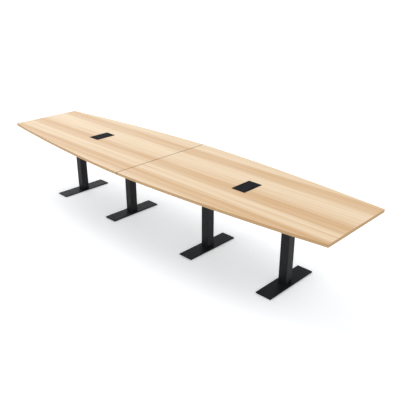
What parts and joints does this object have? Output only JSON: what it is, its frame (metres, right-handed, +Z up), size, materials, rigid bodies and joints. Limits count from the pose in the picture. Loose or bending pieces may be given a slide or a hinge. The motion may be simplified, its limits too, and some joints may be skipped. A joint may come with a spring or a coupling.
{
  "type": "conference table",
  "caption": "Long boat-shaped conference table: a seamed wood-grain top with flip-lid power boxes, on black steel T-legs with flat foot plates and levelling glides.",
  "frame": {"origin": "on the floor, under the middle of the top's outline", "axes": "+X along the table towards the end nearest the viewer, -Y out of the long side that faces the viewer, +Z up"},
  "size_m": [4.23, 1.13, 0.7525],
  "materials": {
    "laminate": "satin light oak grain laminate on board",
    "edging": "satin tan edging with a wood grain",
    "black_steel": "fine-textured black powder coat",
    "black_plastic": "fine-grained matt black",
    "grey_plastic": "smooth dark grey",
    "zinc_steel": "bright zinc plate",
    "nylon": "black nylon"
  },
  "bodies": {
    "table": {"top_panel_left": "laminate", "edge_band_left": "edging", "seam_band_left": "edging", "power_bezel_left": "black_plastic", "hinge_pin_left": "zinc_steel", "back_box_left": "black_steel", "cable_gland_left": "nylon", "socket_panel_left": "black_plastic", "outlet_front_left": "grey_plastic", "outlet_back_left": "grey_plastic", "data_ports_left": "grey_plastic", "top_panel_right": "laminate", "edge_band_right": "edging", "seam_band_right": "edging", "power_bezel_right": "black_plastic", "hinge_pin_right": "zinc_steel", "back_box_right": "black_steel", "cable_gland_right": "nylon", "socket_panel_right": "black_plastic", "outlet_front_right": "grey_plastic", "outlet_back_right": "grey_plastic", "data_ports_right": "grey_plastic", "joining_plate_front": "black_steel", "joining_plate_middle": "black_steel", "joining_plate_back": "black_steel", "foot_plate_1": "black_steel", "column_1": "black_steel", "top_bracket_1": "black_steel", "foot_bolt_1": "zinc_steel", "foot_plate_2": "black_steel", "column_2": "black_steel", "top_bracket_2": "black_steel", "foot_bolt_2": "zinc_steel", "foot_plate_3": "black_steel", "column_3": "black_steel", "top_bracket_3": "black_steel", "foot_bolt_3": "zinc_steel", "foot_plate_4": "black_steel", "column_4": "black_steel", "top_bracket_4": "black_steel", "foot_bolt_4": "zinc_steel"},
    "power_lid_left": {"power_lid_left": "black_plastic"},
    "power_lid_right": {"power_lid_right": "black_plastic"},
    "glide_1_front_left": {"glide_1_front_left": "nylon"},
    "glide_1_front_right": {"glide_1_front_right": "nylon"},
    "glide_1_back_left": {"glide_1_back_left": "nylon"},
    "glide_1_back_right": {"glide_1_back_right": "nylon"},
    "glide_2_front_left": {"glide_2_front_left": "nylon"},
    "glide_2_front_right": {"glide_2_front_right": "nylon"},
    "glide_2_back_left": {"glide_2_back_left": "nylon"},
    "glide_2_back_right": {"glide_2_back_right": "nylon"},
    "glide_3_front_left": {"glide_3_front_left": "nylon"},
    "glide_3_front_right": {"glide_3_front_right": "nylon"},
    "glide_3_back_left": {"glide_3_back_left": "nylon"},
    "glide_3_back_right": {"glide_3_back_right": "nylon"},
    "glide_4_front_left": {"glide_4_front_left": "nylon"},
    "glide_4_front_right": {"glide_4_front_right": "nylon"},
    "glide_4_back_left": {"glide_4_back_left": "nylon"},
    "glide_4_back_right": {"glide_4_back_right": "nylon"}
  },
  "joints": [
    {"name": "left_lid_hinge", "type": "hinge", "parent": "table", "child": "power_lid_left", "pos_m": [-1.0387, 0, 0.75], "axis": [0, -1, 0], "range_deg": [0, 100]},
    {"name": "right_lid_hinge", "type": "hinge", "parent": "table", "child": "power_lid_right", "pos_m": [1.0053, 0, 0.75], "axis": [0, -1, 0], "range_deg": [0, 100]},
    {"name": "glide_1_front_left_height", "type": "slide", "parent": "table", "child": "glide_1_front_left", "axis": [0, 0, 1], "range_m": [-0.004, 0]},
    {"name": "glide_1_front_right_height", "type": "slide", "parent": "table", "child": "glide_1_front_right", "axis": [0, 0, 1], "range_m": [-0.004, 0]},
    {"name": "glide_1_back_left_height", "type": "slide", "parent": "table", "child": "glide_1_back_left", "axis": [0, 0, 1], "range_m": [-0.004, 0]},
    {"name": "glide_1_back_right_height", "type": "slide", "parent": "table", "child": "glide_1_back_right", "axis": [0, 0, 1], "range_m": [-0.004, 0]},
    {"name": "glide_2_front_left_height", "type": "slide", "parent": "table", "child": "glide_2_front_left", "axis": [0, 0, 1], "range_m": [-0.004, 0]},
    {"name": "glide_2_front_right_height", "type": "slide", "parent": "table", "child": "glide_2_front_right", "axis": [0, 0, 1], "range_m": [-0.004, 0]},
    {"name": "glide_2_back_left_height", "type": "slide", "parent": "table", "child": "glide_2_back_left", "axis": [0, 0, 1], "range_m": [-0.004, 0]},
    {"name": "glide_2_back_right_height", "type": "slide", "parent": "table", "child": "glide_2_back_right", "axis": [0, 0, 1], "range_m": [-0.004, 0]},
    {"name": "glide_3_front_left_height", "type": "slide", "parent": "table", "child": "glide_3_front_left", "axis": [0, 0, 1], "range_m": [-0.004, 0]},
    {"name": "glide_3_front_right_height", "type": "slide", "parent": "table", "child": "glide_3_front_right", "axis": [0, 0, 1], "range_m": [-0.004, 0]},
    {"name": "glide_3_back_left_height", "type": "slide", "parent": "table", "child": "glide_3_back_left", "axis": [0, 0, 1], "range_m": [-0.004, 0]},
    {"name": "glide_3_back_right_height", "type": "slide", "parent": "table", "child": "glide_3_back_right", "axis": [0, 0, 1], "range_m": [-0.004, 0]},
    {"name": "glide_4_front_left_height", "type": "slide", "parent": "table", "child": "glide_4_front_left", "axis": [0, 0, 1], "range_m": [-0.004, 0]},
    {"name": "glide_4_front_right_height", "type": "slide", "parent": "table", "child": "glide_4_front_right", "axis": [0, 0, 1], "range_m": [-0.004, 0]},
    {"name": "glide_4_back_left_height", "type": "slide", "parent": "table", "child": "glide_4_back_left", "axis": [0, 0, 1], "range_m": [-0.004, 0]},
    {"name": "glide_4_back_right_height", "type": "slide", "parent": "table", "child": "glide_4_back_right", "axis": [0, 0, 1], "range_m": [-0.004, 0]}
  ]
}
